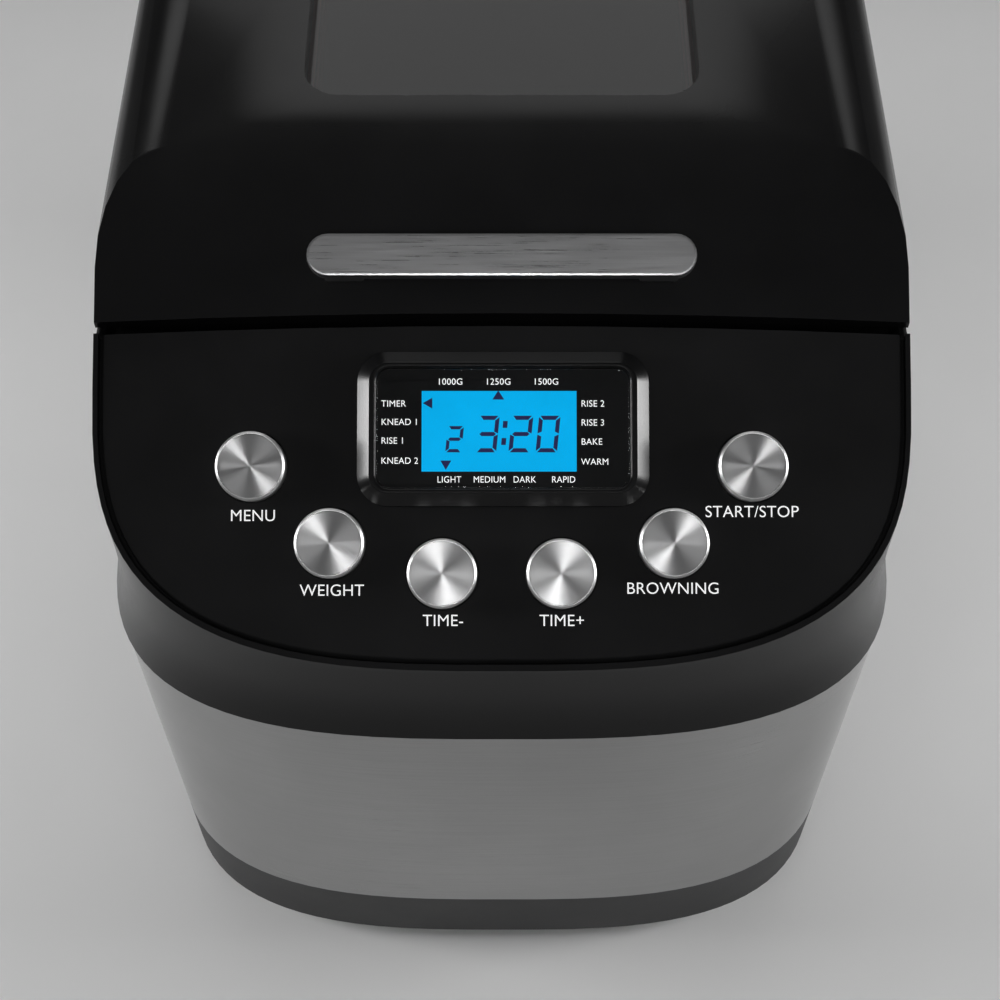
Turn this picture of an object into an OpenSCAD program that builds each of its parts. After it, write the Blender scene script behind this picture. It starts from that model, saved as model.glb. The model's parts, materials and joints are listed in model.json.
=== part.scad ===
// Bread machine: bowed-front housing, sloped control panel, hinged lid with window,
// oven chamber, lift-out bread pan with kneading paddle, and belt drive.
// Millimetres. +Z up, front faces -Y, origin under the middle of the body on the table.

/* [Body] */
// Half of the housing's width above the flare
half_w = 124.6; // [124:0.2:126]
// Distance from the origin to the foremost and rearmost point above the flare
half_d = 169.6; // [168:0.2:171]
// Depth of the bowed front, from its foremost point to where the sides run straight
bow_d = 74.6; // [72:0.2:77]
// Squareness exponent of the bowed front
bow_n = 3; // [2.9:0.1:3.1]
// Radius of the rear corners
rear_r = 36; // [34:1:40]
// How far the skirt flares out at its lower edge
flare = 5.4; // [5:0.2:6]
// Height at which the steel jacket starts
jacket_z0 = 42; // [40:1:44]
// Height at which the steel jacket ends and the black top housing starts
jacket_z1 = 184; // [178:1:188]
// Wall of the plastic shells
wall = 2.5; // [2.2:0.1:2.8]

/* [Control panel] */
// Slope of the control panel from horizontal, degrees
slope = 30; // [29:0.5:31]
// Height of the panel's front edge
nose_z = 221; // [219:1:223]
// Length of the panel up its slope
panel_len = 102.2; // [100:0.2:104]
// Thickness of the panel
panel_t = 2.5; // [2.2:0.1:2.6]
// Radius of a button cap
button_r = 10.6; // [10:0.1:10.7]
// Height of a button above the panel
button_h = 4; // [3.5:0.1:4.5]
// Width of the display bezel
bezel_w = 88.8; // [86:0.2:92]
// Height of the display bezel up the slope
bezel_d = 47.3; // [46:0.1:49]
// Height of the display bezel above the panel
bezel_h = 4.5; // [4:0.1:5]

/* [Lid] */
// Height of the lid's top
lid_z = 300; // [299:0.5:301]
// Height of the lid's lower edge
lid_z0 = 270; // [269.5:0.5:270.5]
// Width of the window opening
win_w = 126; // [120:1:130]
// Depth of the window opening
win_d = 92; // [88:1:94]

/* [Bread pan] */
// Half width of the pan
pan_x = 89; // [87:0.5:90]
// Half depth of the pan
pan_y = 69; // [67:0.5:70]
// Height of the pan's rim above the table
rim_z = 243; // [240:1:244]
// Radius of the paddle shaft and of the drive shaft
shaft_r = 4; // [3.8:0.1:4]

/* [Drive] */
// Radius of the large pulley
big_r = 48; // [46:1:50]
// Radius of the motor pulley
small_r = 9; // [8.5:0.5:9.5]

/* [Hidden] */
$fn = 64;

// ---- derived values ----
yc = -half_d + bow_d;               // where the bow meets the straight sides
nose_y = -half_d + 2.6;               // the panel's front edge
seam_y = nose_y + panel_len*cos(slope); // the panel's rear edge at the middle
groove = 3.2;                       // gap between panel and lid
deck_z = 268;                       // top of the deck round the chamber's mouth
lid_y1 = 150;                       // rear face of the lid
hinge_y = 158;
hinge_z = 276;
jo = flare - 0.6;                   // the jacket's and the base's outline
rear_y = half_d + jo;               // rear face of the jacket and base
pan_cy = 38;                        // centre of pan, chamber and drive
cham_x = 104;                       // chamber, inside
cham_y = 88;
floor_z = 61;                       // chamber floor, top
pan_z = 88;                         // underside of the pan
pivot_z = 234;                      // pan handle's pivot
motor_x = 38;
motor_y = -112;
lcd = [-0.8, 69.5];                 // centre of the display area on the panel
bezel_c = [0.4, 70.3];              // centre of the bezel on the panel
buttons = [[-76, 58.8], [-52, 35.5], [-18, 26.4], [18, 26.4], [52, 35.5], [76, 58.8]];

// ---- outlines ----
function sp(v, e) = sign(v)*pow(abs(v), e);
function arc(cx, cy, r, a0, a1, n) = [for (i = [0:n]) let (a = a0 + (a1 - a0)*i/n) [cx + r*cos(a), cy + r*sin(a)]];
function bow(o) = [for (t = [180:4:360]) [(half_w + o)*sp(cos(t), 2/bow_n), yc + (bow_d + o)*sp(sin(t), 2/bow_n)]];
function outline(o) = concat(bow(o),
  arc(half_w - rear_r, half_d - rear_r, rear_r + o, 0, 90, 8),
  arc(-(half_w - rear_r), half_d - rear_r, rear_r + o, 90, 180, 8));
function rr(w, d, r, n = 6) = concat(
  arc(w/2 - r, d/2 - r, r, 0, 90, n), arc(-w/2 + r, d/2 - r, r, 90, 180, n),
  arc(-w/2 + r, -d/2 + r, r, 180, 270, n), arc(w/2 - r, -d/2 + r, r, 270, 360, n));
function seam(x) = seam_y - 1.8*pow(x/106, 2);
// a belt line round two circles at a and b with radii ra and rb
function belt(ax, ay, ra, bx, by, rb) =
  let (d = norm([bx - ax, by - ay]), dir = atan2(by - ay, bx - ax), w = acos((ra - rb)/d))
  concat(arc(ax, ay, ra, dir + w, dir + 360 - w, 24), arc(bx, by, rb, dir - w, dir + w, 24));

// closed solid through outlines stacked upward, each level an offset and a height
module stack(levels) {
  n = len(outline(0));
  polyhedron(
    points = [for (l = levels) for (p = outline(l[0])) [p[0], p[1], l[1]]],
    faces = concat([[for (i = [0:n - 1]) i]], [[for (i = [n - 1:-1:0]) (len(levels) - 1)*n + i]],
      [for (k = [0:len(levels) - 2]) for (i = [0:n - 1]) let (j = (i + 1)%n) [k*n + i, (k + 1)*n + i, (k + 1)*n + j]],
      [for (k = [0:len(levels) - 2]) for (i = [0:n - 1]) let (j = (i + 1)%n) [k*n + i, (k + 1)*n + j, k*n + j]]));
}
curve = [[0, 1], [6, 0.70], [13, 0.42], [22, 0.18], [34, 0.04], [44, 0]]; // height above the lower edge, share of the flare
// skirt: flared at the bottom, straight above; moved in by t and longer by e at each end
module skirt(t, e = 0) {
  stack(concat(e > 0 ? [[flare - t, jacket_z1 - e]] : [], [for (c = curve) [flare*c[1] - t, jacket_z1 + c[0]]], [[-t, 290 + e]]));
}
module prism(o, z0, z1) { translate([0, 0, z0]) linear_extrude(z1 - z0) polygon(outline(o)); }
module plate(w, d, r, z0, z1) { translate([0, 0, z0]) linear_extrude(z1 - z0) polygon(rr(w, d, r)); }
module at_pan() { translate([0, pan_cy, 0]) children(); }
// local frame of the control panel: x across, y up the slope from the front edge, z out of the panel
module on_panel() { translate([0, nose_y, nose_z]) rotate([slope, 0, 0]) children(); }
module under_slope(d) { on_panel() translate([-300, -300, -500 + d]) cube([600, 900, 500]); }
// everything in front of the seam line, moved back by o
module before_seam(o) {
  translate([0, 0, 100]) linear_extrude(250)
    polygon(concat([[-150, -220]], [[150, -220]], [for (x = [150:-30:-150]) [x, seam(x) + o]]));
}
module xcyl(r, x0, x1, y, z) { translate([x0, y, z]) rotate([0, 90, 0]) cylinder(r = r, h = x1 - x0); }
module ycyl(r, y0, y1, x, z) { translate([x, y1, z]) rotate([90, 0, 0]) cylinder(r = r, h = y1 - y0); }
module zcyl(r, z0, z1, x = 0, y = 0) { translate([x, y, z0]) cylinder(r = r, h = z1 - z0); }

feet = [[-88, -118], [88, -118], [-84, 148], [84, 148]];
posts = [[-98, -62], [98, -62], [-98, 128], [98, 128]];

// ---- housing ----
module base_tray() {
  color("#141414") difference() {
    union() {
      difference() { prism(jo, 8, jacket_z0); prism(jo - wall, 8 + wall, jacket_z0 + 1); }
      difference() { prism(jo - 1.3, jacket_z0 - 4, jacket_z0 + 8); prism(jo - 3.3, jacket_z0 - 5, jacket_z0 + 9); }
      for (p = posts) zcyl(6, 8 + wall, 58, p[0], p[1]);
    }
    for (p = posts) { zcyl(1.6, 7, 28, p[0], p[1]); zcyl(4, 7, 10.6, p[0], p[1]); }
    for (p = feet) zcyl(4.2, 7, 12, p[0], p[1]);
    for (i = [0:6]) translate([8 + i*9, -140, 7]) cube([3.5, 48, 5]);
    ycyl(6.6, rear_y - 10, rear_y + 5, -75, 27);
  }
}
module rubber_feet() {
  color("#202020") for (p = feet) { zcyl(11, 0, 8, p[0], p[1]); zcyl(4, 7.5, 12.5, p[0], p[1]); }
}
module steel_jacket() {
  color("#b8b8b8") difference() { prism(jo, jacket_z0, jacket_z1); prism(jo - 1, jacket_z0 - 1, jacket_z1 + 1); }
}
module top_housing() {
  color("#1c1c1c") difference() {
    union() {
      // skirt in front of the seam, cut along the slope
      intersection() {
        difference() { skirt(0); skirt(wall, 1); }
        under_slope(0.4);
        before_seam(0);
      }
      // skirt behind it, up to the deck
      difference() {
        intersection() { skirt(0); translate([-300, -300, 0]) cube([600, 600, deck_z]); }
        skirt(wall, 1);
        before_seam(-1);
      }
      // lip inside the jacket
      difference() {
        union() { prism(jo - 1.3, jacket_z1 - 8, jacket_z1 + 1); prism(flare - 2, jacket_z1, jacket_z1 + 4); }
        prism(jo - 3.3, jacket_z1 - 9, jacket_z1 + 7);
      }
      // ledge under the panel
      intersection() {
        difference() { prism(-2, 190, 290); prism(-9, 189, 291); }
        under_slope(-panel_t - 0.1);
        before_seam(0);
        on_panel() translate([-200, -20, -panel_t - 2.6]) cube([400, 180, 8]);
      }
      // groove floor, step and deck
      intersection() {
        prism(-1, 200, 290);
        union() {
          translate([-150, seam_y - 8, 259]) cube([300, 16.5, 3]);
          translate([-150, -73.5, 259]) cube([300, 2.5, deck_z - 259]);
          translate([-150, -73.5, deck_z - 3]) cube([300, 260, 3]);
        }
      }
      // hinge ears
      for (s = [-1, 1]) {
        translate([s*64 - 5, 151.2, deck_z - 2]) cube([10, 13.6, hinge_z - deck_z + 2]);
        xcyl(6.8, s*64 - 5, s*64 + 5, hinge_y, hinge_z);
      }
    }
    at_pan() plate(2*cham_x, 2*cham_y, 15, deck_z - 5, deck_z + 5);
    // gap round the panel's edge
    intersection() {
      prism(-1.5, 190, 300);
      before_seam(0.5);
      on_panel() translate([-200, -20, -panel_t - 0.1]) cube([400, 180, 30]);
    }
    for (s = [-1, 1]) xcyl(3.05, s*64 - 6, s*64 + 6, hinge_y, hinge_z);
    // side and rear vents
    for (i = [0:8]) translate([-150, 44 + i*8, 204]) cube([300, 3, 30]);
    for (i = [-6:6]) translate([i*9 - 1.5, 155, 204]) cube([3, 30, 30]);
  }
}
module control_panel() {
  color("#1b1b1b") difference() {
    union() {
    intersection() {
      prism(-2.9, 190, 300);
      under_slope(0);
      before_seam(0);
      on_panel() translate([-200, -20, -panel_t]) cube([400, 180, 20]);
    }
    // pillars for the control board
    on_panel() for (x = [-80, 80]) for (y = [24, 80]) zcyl(3.2, -18, -panel_t + 0.5, x, y);
    }
    on_panel() {
      for (x = [-80, 80]) for (y = [24, 80]) zcyl(1.2, -20, -5, x, y);
      for (b = buttons) zcyl(button_r + 0.35, -10, 10, b[0], b[1]);
      translate([bezel_c[0], bezel_c[1], 0]) plate(80, 39, 5, -10, 10);
    }
  }
}

// ---- display ----
module lcd_bezel() {
  color("#101010") on_panel() translate([bezel_c[0], bezel_c[1], 0]) difference() {
    union() {
      hull() {
        plate(bezel_w, bezel_d, 9.5, 0, 0.3);
        plate(bezel_w - 7.4, bezel_d - 7.4, 6, bezel_h - 0.3, bezel_h);
      }
      plate(79.4, 38.4, 4.7, -panel_t - 0.6, 0.1);
    }
    plate(76.8, 36.5, 4, 1.2, 10);
    plate(72, 32, 3, -10, 10);
  }
}
module lcd_lens() {
  color("#c8d4dc") on_panel() translate([bezel_c[0], bezel_c[1], 0]) plate(76.5, 36.2, 3.9, 1.8, 3.2);
}
module lcd_mask() {
  color("#0c0c0c") on_panel() difference() {
    translate([bezel_c[0], bezel_c[1], 0]) plate(76.5, 36.2, 3.9, 1.2, 1.8);
    translate([lcd[0] - 23.5, lcd[1] - 12.3, 0]) cube([47, 24.6, 5]);
  }
}
module lcd_glass() {
  color("#00acea") on_panel() translate([lcd[0] - 28, lcd[1] - 15, -1.2]) cube([56, 30, 2.3]);
}
module lcd_backlight() {
  color("#e8e8e8") on_panel() translate([lcd[0] - 27, lcd[1] - 14, -18]) cube([54, 28, 16.7]);
}
module control_board() {
  color("#1e6b3a") on_panel() difference() {
    translate([-86, 18, -19.6]) cube([172, 74, 1.6]);
    for (x = [-80, 80]) for (y = [24, 80]) zcyl(1.6, -21, -17, x, y);
  }
}
module tact_switches() {
  color("#303030") on_panel() for (b = buttons) translate([b[0], b[1], 0]) {
    translate([-3, -3, -18]) cube([6, 6, 3.5]);
    zcyl(1.75, -14.6, -13.8);
  }
}

// ---- buttons ----
module button_cap(i) {
  color("#c4c4c4") on_panel() translate([buttons[i][0], buttons[i][1], 0]) rotate_extrude()
    polygon([[0, button_h - 1.1], [button_r - 0.7, button_h - 1.1], [button_r - 0.7, -1.5], [button_r, -1.5],
      [button_r, button_h - 0.9], [button_r - 0.9, button_h], [button_r - 1.1, button_h], [0, button_h - 0.2]]);
}
module button_plunger(i) {
  color("#181818") on_panel() translate([buttons[i][0], buttons[i][1], 0]) rotate_extrude()
    polygon([[0, button_h - 1.2], [button_r - 0.8, button_h - 1.2], [button_r - 0.8, -panel_t - 0.15],
      [12, -panel_t - 0.15], [12, -panel_t - 1.6], [2.5, -panel_t - 1.6], [2.5, -12.6], [0, -12.6]]);
}

// ---- oven chamber ----
module oven_chamber() {
  color("#a9abad") difference() {
    at_pan() union() {
      plate(2*cham_x + 2, 2*cham_y + 2, 16, floor_z - 1, deck_z - 3.2);
      plate(2*cham_x + 18, 2*cham_y + 18, 24, deck_z - 4.2, deck_z - 3.2);
    }
    at_pan() plate(2*cham_x, 2*cham_y, 15, floor_z, deck_z);
    at_pan() zcyl(13.6, floor_z - 2, floor_z + 1);
    for (x = [-20, 20]) ycyl(4.2, pan_cy - cham_y - 3, pan_cy - cham_y + 3, x, 80);
    ycyl(3, pan_cy - cham_y - 3, pan_cy - cham_y + 3, 60, 150);
  }
}
el_x = 96.5; el_y = 78.5; el_r = 26; el_t = 3.3; el_z = 80;
module el_corner(x, y, a) { translate([x, y, el_z]) rotate([0, 0, a]) rotate_extrude(angle = 90) translate([el_r, 0]) circle(el_t); }
module heating_element() {
  color("#6d6a66") at_pan() union() {
    el_corner(el_x - el_r, el_y - el_r, 0);
    el_corner(-el_x + el_r, el_y - el_r, 90);
    el_corner(-el_x + el_r, -el_y + el_r, 180);
    el_corner(el_x - el_r, -el_y + el_r, 270);
    xcyl(el_t, -el_x + el_r, el_x - el_r, el_y, el_z);
    for (s = [-1, 1]) {
      ycyl(el_t, -el_y + el_r, el_y - el_r, s*el_x, el_z);
      xcyl(el_t, s > 0 ? 30 : -el_x + el_r, s > 0 ? el_x - el_r : -30, -el_y, el_z);
      translate([s*30, -el_y - 10, el_z]) rotate([0, 0, s > 0 ? 90 : 0]) rotate_extrude(angle = 90) translate([10, 0]) circle(el_t);
      ycyl(el_t, -el_y - 26, -el_y - 10, s*20, el_z);
      ycyl(1.6, -el_y - 36, -el_y - 26, s*20, el_z);
    }
  }
}
module heater_supports() {
  color("#9a9a9a") at_pan() for (p = [[-el_x, 0, 90], [el_x, 0, 90], [0, el_y, 0]]) translate([p[0], p[1], 0]) rotate([0, 0, p[2]]) {
    translate([-6, -4, floor_z]) cube([12, 8, 1.2]);
    difference() {
      translate([-1, -5.2, floor_z + 1]) cube([2, 10.4, el_z - floor_z + 1]);
      translate([-2, 0, el_z]) rotate([0, 90, 0]) cylinder(r = el_t + 0.15, h = 4);
      translate([-2, -el_t - 0.15, el_z]) cube([4, 2*el_t + 0.3, 8]);
    }
  }
}
module pan_seat() {
  color("#8e8e90") at_pan() difference() {
    union() { zcyl(45, floor_z, floor_z + 1.5); zcyl(34, floor_z, 72); }
    zcyl(30, floor_z - 1, 73);
  }
}
module pan_clips() {
  color("#b5b5b8") at_pan() for (s = [-1, 1]) {
    translate([s > 0 ? 39.2 : -40.2, -8, floor_z + 1.5]) cube([1, 16, 22]);
    translate([s > 0 ? 38.6 : -39.8, -8, 78]) cube([1.2, 16, 2.4]);
  }
}
module temperature_sensor() {
  color("#c0b070") {
    ycyl(2.6, pan_cy - cham_y - 4, pan_cy - cham_y + 13, 60, 150);
    ycyl(6.5, pan_cy - cham_y - 4, pan_cy - cham_y - 1.1, 60, 150);
  }
}

// ---- chassis and drive ----
module chassis_plate() {
  color("#9fa3a6") difference() {
    prism(-14, 58, floor_z - 1);
    zcyl(13.6, 57, 62, 0, pan_cy);
    zcyl(14, 57, 62, motor_x, motor_y);
    translate([-96, -120, 57]) cube([60, 40, 5]);
    for (p = posts) zcyl(1.8, 57, 62, p[0], p[1]);
    for (s = [-1, 1]) translate([s*70 - 12, 0, 57]) cube([24, 70, 5]);
  }
}
module bearing_bracket() {
  color("#8a8c8e") at_pan() difference() {
    union() {
      plate(88, 56, 10, 54, 58);
      zcyl(13, 36, 66);
      for (a = [0:90:270]) rotate([0, 0, a + 45]) translate([0, -1.5, 42]) cube([26, 3, 13]);
    }
    zcyl(8.05, 30, 70);
  }
}
module shaft_bush() {
  color("#b08d57") at_pan() difference() { zcyl(8, 36, 66); zcyl(shaft_r + 0.06, 30, 70); }
}
module drive_shaft() { color("#d0d0d2") at_pan() zcyl(shaft_r, 17, 69.5); }
module drive_socket() {
  color("#7c7d80") at_pan() {
    difference() { zcyl(14, 67, 71); zcyl(shaft_r + 0.02, 66, 69.5); }
    for (s = [-1, 1]) translate([-4, s > 0 ? 7.5 : -12.5, 70.5]) cube([8, 5, 9]);
  }
}
module large_pulley() {
  color("#2b2b2b") at_pan() difference() {
    union() {
      zcyl(big_r, 20, 33);
      zcyl(big_r + 2, 19, 20);
    }
    difference() { zcyl(big_r - 5, 22.5, 34); zcyl(11, 22, 34); for (a = [0:60:300]) rotate([0, 0, a]) translate([8, -1.5, 22]) cube([big_r, 3, 12]); }
    for (a = [0:60:300]) rotate([0, 0, a + 30]) zcyl(8, 18, 24, 27, 0);
    zcyl(shaft_r + 0.02, 18, 34);
  }
}
module motor_pulley() {
  color("#c9b26a") translate([motor_x, motor_y, 0]) difference() {
    union() { zcyl(small_r, 20, 36); zcyl(small_r + 2, 18.5, 20); }
    zcyl(3.02, 18, 37);
  }
}
module motor_shaft() { color("#d0d0d2") zcyl(3, 19, 134, motor_x, motor_y); }
module motor_body() {
  color("#8f9396") translate([motor_x, motor_y, 0]) difference() {
    union() {
      translate([-34, -34, 72]) linear_extrude(36) translate([34, 34]) polygon(rr(68, 68, 14));
      zcyl(30, 63, 118);
      zcyl(12, 60, 63); zcyl(10, 118, 126);
      for (a = [0:90:270]) rotate([0, 0, a + 45]) zcyl(4, 60, 74, 34, 0);
    }
    zcyl(3.06, 59, 127);
  }
}
module motor_capacitor() { color("#3a3a3c") translate([94, -90, 0]) plate(28, 38, 2, 60, 92); }
module drive_belt() {
  color("#0f0f0f") translate([0, 0, 23]) linear_extrude(8) difference() {
    polygon(belt(0, pan_cy, big_r + 2.2, motor_x, motor_y, small_r + 2.2));
    polygon(belt(0, pan_cy, big_r + 0.4, motor_x, motor_y, small_r + 0.4));
  }
}
module power_board() {
  color("#2a6e3f") union() {
    translate([-98, -134, 70]) cube([86, 74, 1.6]);
    for (x = [-92, -18]) for (y = [-128, -66]) zcyl(3, 60, 70.1, x, y);
  }
}
module board_parts() {
  color("#d8c23a") {
    translate([-90, -118, 71.6]) cube([34, 30, 26]);
    translate([-46, -118, 71.6]) cube([20, 16, 16]);
    zcyl(8, 71.6, 94, -36, -84);
    translate([-90, -80, 71.6]) cube([26, 4, 24]);
  }
}
module cord_gland() {
  color("#101010") difference() {
    union() { ycyl(6.5, rear_y - 8, rear_y + 0.4, -75, 27); ycyl(9, rear_y, rear_y + 0.6, -75, 27); ycyl(8.5, rear_y - 6, rear_y - wall, -75, 27); }
    ycyl(3.6, rear_y - 15, rear_y + 5, -75, 27);
  }
}
module hinge_pins() { color("#c8c8ca") for (s = [-1, 1]) xcyl(3, s > 0 ? 49 : -68.8, s > 0 ? 68.8 : -49, hinge_y, hinge_z); }
module base_screws() { color("#5c5c5e") for (p = posts) { zcyl(3.5, 8.2, 10.5, p[0], p[1]); zcyl(1.5, 10, 27, p[0], p[1]); } }

// ---- lid ----
module lid_solid(t, z0) {
  intersection() {
    prism(-t, z0, lid_z - t);
    under_slope(-t);
    difference() { translate([-200, -200, z0]) cube([400, lid_y1 - t + 200, 100]); translate([0, 0, -10]) before_seam(groove + t); }
    translate([-200, 0, 0]) rotate([90, 0, 90]) linear_extrude(400)
      polygon(concat([[-200, z0], [lid_y1 - t, z0]], [for (a = [0:15:90]) [lid_y1 - 16 + (16 - t)*cos(a), 286 + (lid_z - 286 - t)*sin(a)]], [[-200, lid_z - t]]));
    translate([0, 300, 0]) rotate([90, 0, 0]) linear_extrude(600)
      polygon(concat([[-half_w + t, z0], [half_w - t, z0]],
        [for (a = [0:15:90]) [half_w - 22 + (22 - t)*cos(a), 281 + (lid_z - 281 - t)*sin(a)]],
        [for (a = [90:-15:0]) [-half_w + 22 - (22 - t)*cos(a), 281 + (lid_z - 281 - t)*sin(a)]]));
  }
}
lid_bosses = [[-111, -54], [111, -54], [-111, 130], [111, 130]];
module lid_shell() {
  color("#161616") difference() {
    union() {
      difference() {
        lid_solid(0, lid_z0);
        difference() {
          lid_solid(wall, lid_z0 - 5);
          at_pan() plate(win_w + 5, win_d + 5, 14, 292, 310);
        }
      }
      intersection() { lid_solid(0.5, lid_z0); for (p = lid_bosses) zcyl(4, 272.2, 310, p[0], p[1]); }
      // hinge barrel and its web
      xcyl(6.8, -58, 58, hinge_y, hinge_z);
      translate([-58, lid_y1 - wall, 271]) cube([116, hinge_y - lid_y1 + wall, 9]);
    }
    at_pan() plate(win_w, win_d, 12, 280, 310);
    for (s = [-1, 1]) xcyl(3.08, s > 0 ? 48 : -59, s > 0 ? 59 : -48, hinge_y, hinge_z);
    for (p = lid_bosses) zcyl(1.4, 271, 280, p[0], p[1]);
    // steam vents behind the window
    for (i = [-5:5]) translate([i*8 - 1.5, 98, 280]) cube([3, 20, 40]);
  }
}
module lid_liner() {
  color("#b4b6b8") difference() {
    translate([0, pan_cy, 0]) union() {
      plate(220, 166, 22, 271, 287);
      plate(236, 204, 26, 271, 272);
    }
    translate([0, pan_cy, 0]) plate(218, 164, 21, 270, 286);
    at_pan() plate(118, 84, 10, 280, 290);
    for (p = lid_bosses) zcyl(1.8, 270, 273, p[0], p[1]);
    for (i = [-5:5]) translate([i*8 - 1.5, 98, 280]) cube([3, 16, 20]);
  }
}
module lid_window() { color([0.75, 0.8, 0.82, 0.4]) at_pan() plate(132, 98, 14, 288, 292); }
module window_gasket() { color("#b5382c") at_pan() difference() { plate(132, 98, 14, 287, 288); plate(122, 88, 11, 286, 289); } }
module lid_handle() {
  color("#b9babc") on_panel() {
    for (s = [-1, 1]) translate([s*48 - 6, 115.5, 0]) cube([12, 10, 12.5]);
    translate([0, 120.5, 0]) plate(116, 13, 6.3, 12, 17);
  }
}
module lid_screws() { color("#5c5c5e") for (p = lid_bosses) { zcyl(3, 269.2, 271, p[0], p[1]); zcyl(1.3, 270.5, 279, p[0], p[1]); } }

// ---- bread pan ----
module bread_pan() {
  color("#3a3a3c") at_pan() difference() {
    union() { plate(2*pan_x, 2*pan_y, 16.5, pan_z, rim_z); plate(2*pan_x + 12, 2*pan_y + 12, 22.5, rim_z - 2, rim_z); }
    plate(2*pan_x - 3, 2*pan_y - 3, 15, pan_z + 1.5, rim_z + 1);
    zcyl(9.1, pan_z - 1, pan_z + 2);
  }
}
module pan_base_ring() { color("#4a4a4c") at_pan() difference() { zcyl(38, 62.55, pan_z); zcyl(35.5, 61, pan_z + 1); } }
module pan_bush() {
  color("#a0a0a2") at_pan() difference() {
    union() { zcyl(9, 83, 93); zcyl(15, pan_z - 2, pan_z); }
    zcyl(shaft_r + 0.06, 80, 95);
  }
}
module handle_pivots() {
  color("#c0c0c2") at_pan() for (s = [0, 180]) rotate([0, 0, s]) {
    xcyl(5, pan_x, 95.4, 0, pivot_z);
    xcyl(2.5, 95.3, 100.7, 0, pivot_z);
    xcyl(4, 100.6, 102, 0, pivot_z);
  }
}
module pan_handle() {
  hr = 2.2; hx = 98; hy = 79; hc = 16;
  color("#8c8c8e") at_pan() {
    for (s = [-1, 1]) {
      difference() { xcyl(5, s*hx - 1.5, s*hx + 1.5, 0, pivot_z); xcyl(2.58, s*hx - 3, s*hx + 3, 0, pivot_z); }
      ycyl(hr, -hy + hc, -4, s*hx, pivot_z);
    }
    xcyl(hr, -hx + hc, hx - hc, -hy, pivot_z);
    translate([-hx + hc, -hy + hc, pivot_z]) rotate([0, 0, 180]) rotate_extrude(angle = 90) translate([hc, 0]) circle(hr);
    translate([hx - hc, -hy + hc, pivot_z]) rotate([0, 0, 270]) rotate_extrude(angle = 90) translate([hc, 0]) circle(hr);
  }
}
module paddle_shaft() { color("#d0d0d2") at_pan() difference() { zcyl(shaft_r, 73, 116); translate([2.8, -5, 95]) cube([5, 10, 30]); } }
module pan_coupling() {
  color("#7c7d80") at_pan() difference() {
    union() { zcyl(6.5, 71.6, 82); translate([-12, -2.5, 71.6]) cube([24, 5, 7]); }
    zcyl(shaft_r + 0.02, 73, 85);
  }
}
module kneading_paddle() {
  color("#454547") at_pan() difference() {
    union() {
      zcyl(10, 93.5, 120);
      translate([0, -2.2, 0]) rotate([90, 0, 0]) translate([0, 0, -4.4]) linear_extrude(4.4)
        polygon([[0, 94], [50, 94], [56, 97], [58, 104], [50, 110], [26, 118], [0, 119]]);
      translate([-14, -2.2, 94]) cube([14, 4.4, 16]);
    }
    difference() { zcyl(shaft_r + 0.1, 92, 117.5); translate([3.1, -6, 96]) cube([5, 12, 30]); }
  }
}

base_tray();
rubber_feet();
steel_jacket();
top_housing();
control_panel();
lcd_bezel();
lcd_lens();
lcd_mask();
lcd_glass();
lcd_backlight();
control_board();
tact_switches();
oven_chamber();
heating_element();
heater_supports();
pan_seat();
pan_clips();
chassis_plate();
bearing_bracket();
shaft_bush();
motor_body();
motor_capacitor();
power_board();
board_parts();
temperature_sensor();
cord_gland();
hinge_pins();
base_screws();
drive_belt();
lid_shell();
lid_liner();
lid_window();
window_gasket();
lid_handle();
lid_screws();
bread_pan();
pan_base_ring();
pan_bush();
handle_pivots();
pan_handle();
paddle_shaft();
pan_coupling();
kneading_paddle();
drive_shaft();
drive_socket();
large_pulley();
motor_shaft();
motor_pulley();
button_cap(0);  // menu_button_cap
button_plunger(0);  // menu_button_plunger
button_cap(1);  // weight_button_cap
button_plunger(1);  // weight_button_plunger
button_cap(2);  // time_minus_button_cap
button_plunger(2);  // time_minus_button_plunger
button_cap(3);  // time_plus_button_cap
button_plunger(3);  // time_plus_button_plunger
button_cap(4);  // crust_button_cap
button_plunger(4);  // crust_button_plunger
button_cap(5);  // start_button_cap
button_plunger(5);  // start_button_plunger
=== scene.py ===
import json
import math
import bpy
import bmesh
from mathutils import Matrix, Vector


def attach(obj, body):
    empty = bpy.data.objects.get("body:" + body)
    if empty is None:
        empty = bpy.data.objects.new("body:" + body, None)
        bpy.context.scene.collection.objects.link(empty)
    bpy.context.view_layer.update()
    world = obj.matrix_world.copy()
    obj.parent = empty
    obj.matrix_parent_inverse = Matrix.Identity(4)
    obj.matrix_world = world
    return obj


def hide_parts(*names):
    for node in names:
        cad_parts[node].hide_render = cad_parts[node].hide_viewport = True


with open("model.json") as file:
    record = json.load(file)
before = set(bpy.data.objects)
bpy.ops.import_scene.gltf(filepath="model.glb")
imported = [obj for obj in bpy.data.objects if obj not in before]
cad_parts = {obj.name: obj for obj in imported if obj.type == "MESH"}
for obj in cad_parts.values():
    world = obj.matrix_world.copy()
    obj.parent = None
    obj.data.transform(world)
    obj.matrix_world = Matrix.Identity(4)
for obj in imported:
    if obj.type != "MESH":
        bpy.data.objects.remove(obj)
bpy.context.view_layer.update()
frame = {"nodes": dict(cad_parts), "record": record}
NODES = frame["nodes"]
MM = 0.001

# ---------------------------------------------------------------- the panel's own frame
SLOPE = math.radians(30.0)
NOSE = Vector((0.0, -167.0 * MM, 221.0 * MM))
PANEL = Matrix.Translation(NOSE) @ Matrix.Rotation(SLOPE, 4, "X")


def on_panel(x, y, z=0.0):
    """A matrix at that point of the control panel, in mm: x across, y up the slope, z out of it."""
    return PANEL @ Matrix.Translation(Vector((x, y, z)) * MM)


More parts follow.
